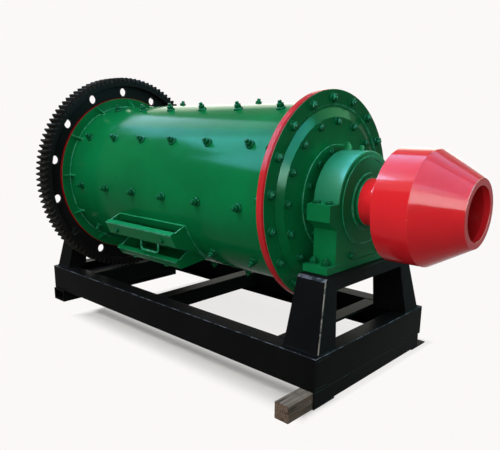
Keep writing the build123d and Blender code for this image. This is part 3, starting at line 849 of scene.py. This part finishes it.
# %% Liner bolts on the shell
seen_row_angles = [70.0, 34.9, -3.4, -41.5]
hidden_row_pitch = 36.0
hidden_row_angles = [-82.0 - hidden_row_pitch * row for row in range(5)]
liner_row_angles = seen_row_angles + hidden_row_angles
liner_steps = [-0.690, -0.423, -0.163, 0.104, 0.376, 0.658]
crown_row_angle = 100.0
crown_row_steps = [-0.329, 0.306, 0.620]
liner_places = [(angle, step) for angle in liner_row_angles for step in liner_steps]
liner_places += [(crown_row_angle, step) for step in crown_row_steps]
shell_middle = (shell_x0 + shell_x1) / 2
hatch_top_angle = -16.0
hatch_low_angle = -64.0
hatch_margin = 0.025
bolt_sink = 0.001
liner_seats = []
for angle, step in liner_places:
    x = shell_middle + step
    beside = x < hatch_x0 - hatch_margin or x > hatch_x1 + hatch_margin
    if beside or not hatch_low_angle < angle < hatch_top_angle:
        liner_seats.append(seat_at(drum_point(x, angle, shell_radius - bolt_sink), outward(angle)))
liner_bolt = (0.0305, 0.017, 0.0240, 0.010, 0.0100, 0.013)
place_bolts("liner_bolts", "drum", shaded_bolt_green, liner_seats, liner_bolt)

# %% [markdown]
# The feed head is bolted three times over: its rim to the shell's flange, a ring of bolts inside the
# conical step, and the trunnion's hub in the middle. The heads of these bolts face the camera.

# %% Bolts on the feed head
rim_bolt_radius = flange_radius - 0.039
boss_bolt_radius = 0.363
hub_bolt_radius = hub_radius - 0.032
rim_bolt_count = 18
boss_bolt_count = 16
hub_bolt_count = 12
rim_first_angle = 6.5
boss_first_angle = 0.5
hub_first_angle = 18.5
boss_face_x = span_x("head_feed")[1]
hub_face_x = reach_x("trunnion_feed", hub_radius - edge_band)[1]


def bolt_circle(x, side, radius, count, first_angle):
    """Seats for bolts on a circle, facing along X on the given side."""
    pitch = 360.0 / count
    direction = Vector((side, 0.0, 0.0))
    return [seat_at(drum_point(x, first_angle + k * pitch, radius), direction) for k in range(count)]


head_bolt = (0.036, 0.016, 0.0225, 0.005, 0.010, 0.004)
rim_seats = bolt_circle(rim_face_x, 1.0, rim_bolt_radius, rim_bolt_count, rim_first_angle)
place_bolts("rim_bolts_feed", "drum", shaded_bolt_green, rim_seats, head_bolt)
boss_bolt = (0.032, 0.015, 0.0200, 0.004, 0.009, 0.003)
boss_seats = bolt_circle(boss_face_x, 1.0, boss_bolt_radius, boss_bolt_count, boss_first_angle)
place_bolts("boss_bolts_feed", "drum", shaded_bolt_green, boss_seats, boss_bolt)
hub_bolt = (0.027, 0.012, 0.0170, 0.003, 0.008, 0.0)
hub_seats = bolt_circle(hub_face_x, 1.0, hub_bolt_radius, hub_bolt_count, hub_first_angle)
place_bolts("hub_bolts_feed", "drum", shaded_bolt_green, hub_seats, hub_bolt)

# %% [markdown]
# Behind each rim bolt there is a nut on the drum side of the flange. The head at the gear end is bolted from
# outside, and its hub bolts have low heads, because the bearing stands close.

# %% Nuts behind the feed flange, and the gear end
nut_size = (0.034, 0.018, 0.0205, 0.003, 0.010, 0.006)
flange_back_x = span_x("flange_feed_end")[0]
feed_nuts = bolt_circle(flange_back_x, -1.0, rim_bolt_radius, rim_bolt_count, rim_first_angle)
place_bolts("rim_nuts", "drum", shaded_bolt_green, feed_nuts, nut_size)
gear_head_x = span_x("head_gear")[0]
gear_rim_seats = bolt_circle(gear_head_x, -1.0, rim_bolt_radius, rim_bolt_count, rim_first_angle)
gear_head_bolt = (0.034, 0.013, 0.0205, 0.003, 0.010, 0.0)
place_bolts("rim_bolts_gear", "drum", shaded_bolt_green, gear_rim_seats, gear_head_bolt)
gear_hub_x = reach_x("trunnion_gear", hub_radius - edge_band)[0]
gear_hub_seats = bolt_circle(gear_hub_x, -1.0, hub_bolt_radius, hub_bolt_count, hub_first_angle)
gear_hub_bolt = (0.026, 0.005, 0.0165, 0.002, 0.008, 0.0)
place_bolts("hub_bolts_gear", "drum", shaded_bolt_green, gear_hub_seats, gear_hub_bolt)

# %% [markdown]
# Each bearing has two bolts on the end of its base plate and two on the ear of its cap, front and back, and
# two drain plugs low on its outer face.

# %% Bearing bolts
base_bolt = (0.034, 0.018, 0.0215, 0.004, 0.011, 0.010)
ear_bolt = (0.034, 0.011, 0.0200, 0.002, 0.010, 0.0)
plug_bolt = (0.028, 0.014, 0.0165, 0.003, 0.008, 0.004)
plate_height = 0.033
plate_bolt_inset = 0.036
ear_bolt_inset = 0.032
ear_height = 0.010
bolt_from_edge = 0.028
plug_rise = 0.024
plug_offset = 0.117
ear_end = 0.002
upward = Vector((0.0, 0.0, 1.0))
base_seats, ear_seats, plug_seats = [], [], []
for end, out_side in (("feed", 1.0), ("gear", -1.0)):
    base_low, base_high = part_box("bearing_base_" + end)
    cap_low, cap_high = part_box("bearing_cap_" + end)
    ear_x0, ear_x1 = reach_x("bearing_cap_" + end, cap_high.y - ear_end)
    for side in (-1.0, 1.0):
        for x in (ear_x0 + bolt_from_edge, ear_x1 - bolt_from_edge):
            plate_y = side * (base_high.y - plate_bolt_inset)
            ear_y = side * (cap_high.y - ear_bolt_inset)
            base_seats.append(seat_at(Vector((x, plate_y, base_low.z + plate_height)), upward))
            ear_seats.append(seat_at(Vector((x, ear_y, cap_low.z + ear_height)), upward))
    face_x = ear_x1 if out_side > 0 else ear_x0
    for side in (-1.0, 1.0):
        point = Vector((face_x, side * plug_offset, base_low.z + plate_height + plug_rise))
        plug_seats.append(seat_at(point, Vector((out_side, 0.0, 0.0))))
place_bolts("bearing_base_bolts", "base", shaded_bolt_green, base_seats, base_bolt)
place_bolts("bearing_ear_bolts", "base", shaded_bolt_green, ear_seats, ear_bolt)
place_bolts("bearing_plugs", "base", shaded_bolt_green, plug_seats, plug_bolt)

# %% [markdown]
# The hatch has two bolts on the front of its upper trough and two under the lower one.

# %% Hatch bolts
hatch_bolt = (0.024, 0.010, 0.0150, 0.0025, 0.008, 0.0)
upper_low, upper_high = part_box("hatch_upper_tray")
lower_low, lower_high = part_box("hatch_lower_tray")
front_bolt_xs = (upper_low.x + 0.085, upper_high.x - 0.095)
front_bolt_angle = -26.45
front_bolt_radius = 0.561
front_facing = outward(-25.85)
front_points = [drum_point(x, front_bolt_angle, front_bolt_radius) for x in front_bolt_xs]
front_seats = [seat_at(point, front_facing) for point in front_points]
under_bolt_xs = (lower_low.x + 0.120, lower_high.x - 0.130)
under_bolt_y = lower_low.y + 0.045
under_bolt_z = lower_low.z + 0.003
under_facing = Vector((0.0, -0.2, -1.0))
under_seats = [seat_at(Vector((x, under_bolt_y, under_bolt_z)), under_facing) for x in under_bolt_xs]
place_bolts("hatch_bolts", "drum", shaded_bolt_green, front_seats + under_seats, hatch_bolt)

# %% [markdown]
# A weld is a row of small frozen pools, so it is rippled across its length. A tube along the joint whose
# radius swells and shrinks every few millimetres gives that ripple as real shape.


# %% Weld beads
ripple_pitch = 0.0075
ripple_depth = 0.16
bead_step = 0.0019
bead_sides = 8


def bead(work, path, radius, across, closed=False):
    """Adds a rippled tube along a path. The vector across is never along the path."""
    rings = []
    walked = 0.0
    count = len(path)
    for step, point in enumerate(path):
        before = path[step - 1] if closed or step else path[0]
        after = path[(step + 1) % count] if closed or step + 1 < count else path[-1]
        along = (after - before).normalized()
        wide = along.cross(across).normalized()
        tall = wide.cross(along).normalized()
        swell = radius * (1.0 + ripple_depth * math.sin(2.0 * math.pi * walked / ripple_pitch))
        ring = []
        for side in range(bead_sides):
            turn = 2.0 * math.pi * side / bead_sides
            ring.append(work.verts.new(point + (wide * math.cos(turn) + tall * math.sin(turn)) * swell))
        rings.append(ring)
        walked += (after - point).length
    pairs = list(zip(rings, rings[1:]))
    if closed:
        pairs.append((rings[-1], rings[0]))
    for first, second in pairs:
        for side in range(bead_sides):
            following = (side + 1) % bead_sides
            work.faces.new((first[side], second[side], second[following], first[following]))
    if not closed:
        work.faces.new(rings[0])
        work.faces.new(rings[-1][::-1])


def straight(start, end):
    """Points from start to end, close enough to carry the ripple."""
    count = max(2, int((end - start).length / bead_step))
    return [start.lerp(end, k / count) for k in range(count + 1)]


def arc(x, radius, first_angle, last_angle):
    """Points round the drum at one place along its axis."""
    turn = last_angle - first_angle
    count = max(2, int(abs(math.radians(turn)) * radius / bead_step))
    return [drum_point(x, first_angle + turn * k / count, radius) for k in range(count + 1)]


print("a bead ripples every", round(1000.0 * ripple_pitch, 1), "mm")

# %% [markdown]
# On the drum, beads run round the shell at both flanges, along the foot of each gusset and down the ends of
# the hatch troughs. Paint stays thin on a bead's crest, and the crest catches the light, so a bead takes
# the paler green of the edges, partly wear and partly painted highlight.

# %% Welds on the drum
flange_weld = 0.0042
gusset_weld = 0.0026
hatch_weld = 0.0034
along_x = Vector((1.0, 0.0, 0.0))
seam_radius = shell_radius + 0.001
foot_radius = shell_radius + 0.0005
work = bmesh.new()
for x in (shell_x0, shell_x1):
    loop = arc(x, seam_radius, 0.0, 360.0)[:-1]
    bead(work, loop, flange_weld, along_x, closed=True)
gusset_x0, gusset_x1 = span_x("gussets_feed_end")
gusset_length = gusset_x1 - gusset_x0
gusset_half = 0.004
gusset_count = 12
first_gusset_angle = 3.0
gusset_angles = [first_gusset_angle + 360.0 / gusset_count * k for k in range(gusset_count)]
for x, side in ((shell_x0, 1.0), (shell_x1, -1.0)):
    for angle in gusset_angles:
        for edge in (-1.0, 1.0):
            shift = math.degrees(edge * gusset_half / shell_radius)
            start = drum_point(x, angle + shift, foot_radius)
            end = drum_point(x + side * gusset_length, angle + shift, foot_radius)
            bead(work, straight(start, end), gusset_weld, outward(angle))
tray_angles = {"hatch_upper_tray": (-22.0, -52.0), "hatch_lower_tray": (-47.0, -59.5)}
for tray, (first, last) in tray_angles.items():
    for x in span_x(tray):
        bead(work, arc(x, foot_radius, first, last), hatch_weld, along_x)
# The beads take the paler edge green: partly wear, partly a painted highlight on the crest.
drum_welds = finish_mesh(work, "drum_welds", [green_edge])
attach(drum_welds, "drum")
print("drum welds", len(drum_welds.data.polygons), "faces")

# %% [markdown]
# On the skid, beads tie the feet of the pedestals to the rails, and the cross members to the rails'
# flanges.

# %% Welds on the skid
frame_weld = 0.0042
tie_weld = 0.0034
weld_room = frame_weld * (1.0 + ripple_depth)
work = bmesh.new()
legs = [name for name in pedestals if "leg" in name]
for name in legs:
    low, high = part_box(name)
    foot_ys = [v.co.y for v in nodes[name].data.vertices if v.co.z < rail_top + seam_tolerance]
    foot_inner = min(foot_ys, key=abs)
    foot_outer = max(foot_ys, key=abs)
    foot_x0 = max(low.x, frame_low_x + weld_room)
    foot_x1 = min(high.x, frame_high_x - weld_room)
    corners = [
        Vector((foot_x0, foot_outer, rail_top)),
        Vector((foot_x1, foot_outer, rail_top)),
        Vector((foot_x1, foot_inner, rail_top)),
        Vector((foot_x0, foot_inner, rail_top)),
    ]
    for start, end in zip(corners, corners[1:] + corners[:1]):
        bead(work, straight(start, end), frame_weld, upward)
rail_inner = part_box("rail_back")[0].y
tie_z = rail_top - 0.001
for name in ("cross_member_mid", "tie_plate_feed", "end_beam_gear", "end_beam_feed"):
    low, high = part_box(name)
    for side in (-1.0, 1.0):
        start = Vector((low.x + weld_room, side * rail_inner, tie_z))
        end = Vector((high.x - weld_room, side * rail_inner, tie_z))
        bead(work, straight(start, end), tie_weld, upward)
frame_welds = finish_mesh(work, "frame_welds", [frame_black])
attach(frame_welds, "base")
print("skid welds", len(frame_welds.data.polygons), "faces")

# %% [markdown]
# The floor is one large flat sheet. It lies a hair below the feet, because two surfaces at exactly the same
# height would show through each other in patches.

# %% Floor
floor_reach = 9.0
floor_drop = 0.0005
work = bmesh.new()
bmesh.ops.create_grid(work, x_segments=8, y_segments=8, size=floor_reach)
floor_mesh = bpy.data.meshes.new("floor")
work.to_mesh(floor_mesh)
work.free()
floor = bpy.data.objects.new("floor", floor_mesh)
floor.location.z = -floor_drop
bpy.context.scene.collection.objects.link(floor)
print("floor", 2 * floor_reach, "m square")

# %% [markdown]
# The floor is plain and pale. Along the front rail it is a lit surface that takes the mill's shadow, and away
# from the rail it fades into the same white as the background, so that no horizon shows. The distance is
# measured from the skid's outline, and inside that the floor keeps a little of the shadow. Light Path tells
# what a ray is for: the camera, a mirror and glass see the pale floor, and light on its way up to the mill
# comes from a darker, plain one.


# %% Floor finish
def ray(finish, kind):
    """1 on rays of one kind, such as those from the camera, and 0 on the others."""
    return finish.node("ShaderNodeLightPath", output="Is " + kind + " Ray")


def looked_at(finish):
    """1 where the camera looks, straight, in a mirror or through glass, and 0 for light on its way."""
    return (ray(finish, "Camera") + ray(finish, "Glossy") + ray(finish, "Transmission")) > 0.5


backdrop_colour = (0.965, 0.945, 0.935)
lit_colour = (0.90, 0.885, 0.875)
bounce_colour = grey(0.25)
inner_white = 0.82
gloss_drop = 0.46
end_fade = (-0.04, 0.04)
rail_fade = (0.0, 0.14)
inner_fade = (0.02, 0.20)
half_skid = (frame_high_x, frame_half, 0.0)

pale_floor = Finish(bpy.data.materials.new("pale_floor"))
place = pale_floor.place()
away = pale_floor.node("ShaderNodeVectorMath", {"operation": "ABSOLUTE"}, {0: place})
beyond = pale_floor.node("ShaderNodeVectorMath", {"operation": "SUBTRACT"}, {0: away, 1: half_skid})
past_end = pale_floor.soft_step(pale_floor.part(beyond, "X"), *end_fade)
past_rail = pale_floor.soft_step(pale_floor.part(beyond, "Y"), *rail_fade)
within = pale_floor.soft_step(pale_floor.part(place, "Y") + frame_half, *inner_fade)
inner = inner_white - gloss_drop * ray(pale_floor, "Glossy")
fade = past_end.larger(past_rail).larger(inner * within)
lit = pale_floor.node("ShaderNodeBsdfDiffuse", {}, {"Color": lit_colour})
bounce = pale_floor.node("ShaderNodeBsdfDiffuse", {}, {"Color": bounce_colour})
white = pale_floor.node("ShaderNodeEmission", {}, {"Color": backdrop_colour, "Strength": 1.0})
pale = pale_floor.node("ShaderNodeMixShader", {}, {0: fade, 1: lit, 2: white})
mixed = pale_floor.node("ShaderNodeMixShader", {}, {0: looked_at(pale_floor), 1: bounce, 2: pale})
pale_floor.node("ShaderNodeOutputMaterial", {}, {"Surface": mixed})
floor_mesh.materials.append(pale_floor.owner)
print("floor fades from", inner_white, "inside the skid to white")

# %% [markdown]
# The world does two jobs. To the camera, and in gloss, it is the white background; to everything else it is
# a soft fill, weaker than white, so that the lamps can shape the drum.

# %% World
fill_colour = (0.94, 0.97, 1.0)
fill_strength = 0.32
world = bpy.data.worlds.new("studio")
bpy.context.scene.world = world
sky = Finish(world)
backdrop = sky.node("ShaderNodeBackground", {}, {"Color": backdrop_colour, "Strength": 1.0})
fill = sky.node("ShaderNodeBackground", {}, {"Color": fill_colour, "Strength": fill_strength})
both = sky.node("ShaderNodeMixShader", {}, {0: looked_at(sky), 1: fill, 2: backdrop})
sky.node("ShaderNodeOutputWorld", {}, {"Surface": both})
print("fill", fill_strength)

# %% [markdown]
# Two soft panels light the mill: a broad one above the front, which gives the soft shadow, and a weaker one
# low at the feed corner. An area lamp shines from its own -Z side, so it is turned until that looks at the
# target.


# %% Lamps
def panel(name, place, target, wide, high, power, colour):
    """A rectangular lamp at a place, turned to a target."""
    lamp = bpy.data.lights.new(name, "AREA")
    lamp.shape = "RECTANGLE"
    lamp.size = wide
    lamp.size_y = high
    lamp.energy = power
    lamp.color = colour
    holder = bpy.data.objects.new(name, lamp)
    holder.location = place
    holder.rotation_mode = "QUATERNION"
    holder.rotation_quaternion = (Vector(target) - Vector(place)).to_track_quat("-Z", "Y")
    holder.visible_camera = False
    bpy.context.scene.collection.objects.link(holder)
    return holder


warm_white = (1.0, 0.98, 0.95)
panel("top_panel", (-0.2, -3.0, 4.6), (0.0, 0.0, 0.7), 3.0, 3.0, 150.0, warm_white)
front_panel = panel("front_panel", (2.2, -3.8, 1.7), (0.6, -0.2, 0.8), 2.4, 1.8, 44.0, warm_white)
print("lamps that light the mill, the lower one at", [round(v, 2) for v in front_panel.location])

# %% [markdown]
# Round gloss paint also mirrors whatever stands round it, so further panels are there for the paint to
# show: a cool row beyond the gear end for the shell's shoulder, three overhead for the feeder and the
# bearing, two behind the camera for the feeder's cone, three at the feed end for the drum's head, and one
# behind the mill for the crown. They are left out of the diffuse light, so that they draw reflections and
# leave the level plain. Each is given by its radiance, where 1 looks white, because that is what a
# reflection shows.


# %% Panels that only gloss shows
def mirrored(name, place, aim, wide, high, radiance, colour):
    """A panel that shines along aim and that only reflections show."""
    power = radiance * math.pi * wide * high
    target = Vector(place) + Vector(aim)
    panel(name, place, target, wide, high, power, colour).visible_diffuse = False


row_x = -4.2
row_top_z = 9.5
row_aim = (1.0, 0.0, 0.0)
sky_blue = (0.20, 0.70, 1.00)
teal_sky = (0.25, 0.58, 1.00)
pale_sky = (0.54, 0.74, 1.00)
for name, low_y, high_y, low_z, radiance, colour in (
    ("sky_near", -5.4, -3.4, 3.75, 105.0, sky_blue),
    ("sky_middle", -3.4, -1.3, 4.40, 64.0, sky_blue),
    ("sky_beyond", -1.3, -0.2, 3.75, 26.0, teal_sky),
    ("sky_far", -0.2, 1.2, 3.55, 16.0, pale_sky),
):
    middle = (row_x, (low_y + high_y) / 2.0, (low_z + row_top_z) / 2.0)
    mirrored(name, middle, row_aim, high_y - low_y, row_top_z - low_z, radiance, colour)

downward = (0.0, 0.0, -1.0)
overhead_blue = (0.20, 0.60, 1.00)
mirrored("overhead", (-0.85, -0.15, 4.2), downward, 1.6, 4.3, 17.0, overhead_blue)
mirrored("overhead_feed", (2.4, -1.0, 4.2), downward, 3.2, 4.0, 22.0, overhead_blue)
mirrored("overhead_back", (2.0, 2.25, 4.2), downward, 2.4, 2.5, 8.0, overhead_blue)

from_camera = (-2.4, 3.1, 0.0)
mirrored("behind_camera", (3.6, -3.3, 2.72), from_camera, 3.0, 1.95, 50.0, (0.7, 0.95, 1.0))
mirrored("camera_high", (3.6, -3.3, 4.4), from_camera, 3.0, 1.4, 26.0, (0.4, 0.75, 1.0))

from_feed = (-5.1, 0.0, 0.0)
mirrored("feed_low", (5.1, 1.0, 1.40), from_feed, 3.0, 0.7, 220.0, (0.54, 1.00, 0.85))
mirrored("feed_side", (5.1, 1.6, 2.80), from_feed, 4.4, 2.1, 85.0, (0.14, 0.85, 0.95))
mirrored("feed_far", (4.3, 6.2, 4.6), (-3.7, -6.2, -3.35), 4.0, 3.4, 17.0, (0.32, 0.90, 0.48))
mirrored("behind_mill", (-4.0, 5.0, 2.8), (4.0, -5.0, -1.4), 8.0, 3.4, 2.3, (1.0, 1.0, 0.85))

# %% [markdown]
# The camera stands off the feed end's front corner at the height of a person's chest. A small lens shift
# sets the mill in the frame as the photograph does.

# %% Camera
image_width = 500.0
focal_pixels = 550.5
camera_place = Vector((2.1307, -2.2678, 1.2095))
camera_azimuth = math.radians(44.15)
camera_elevation = math.radians(13.5)
camera_roll = math.radians(0.18)
shift_across, shift_up = 0.035, 0.0558
lens_data = bpy.data.cameras.new("camera")
lens_data.sensor_width = 36.0
lens_data.lens = focal_pixels / image_width * lens_data.sensor_width
lens_data.shift_x = shift_across
lens_data.shift_y = shift_up
camera = bpy.data.objects.new("camera", lens_data)
back = Vector(
    (
        math.sin(camera_azimuth) * math.cos(camera_elevation),
        -math.cos(camera_azimuth) * math.cos(camera_elevation),
        math.sin(camera_elevation),
    )
)
camera.location = camera_place
camera.rotation_mode = "QUATERNION"
level = (-back).to_track_quat("-Z", "Y")
camera.rotation_quaternion = level @ Matrix.Rotation(camera_roll, 3, "Z").to_quaternion()
bpy.context.scene.collection.objects.link(camera)
bpy.context.scene.camera = camera
bpy.context.scene.view_settings.view_transform = "Standard"
print("lens", round(lens_data.lens, 2), "mm")

# %% [markdown]
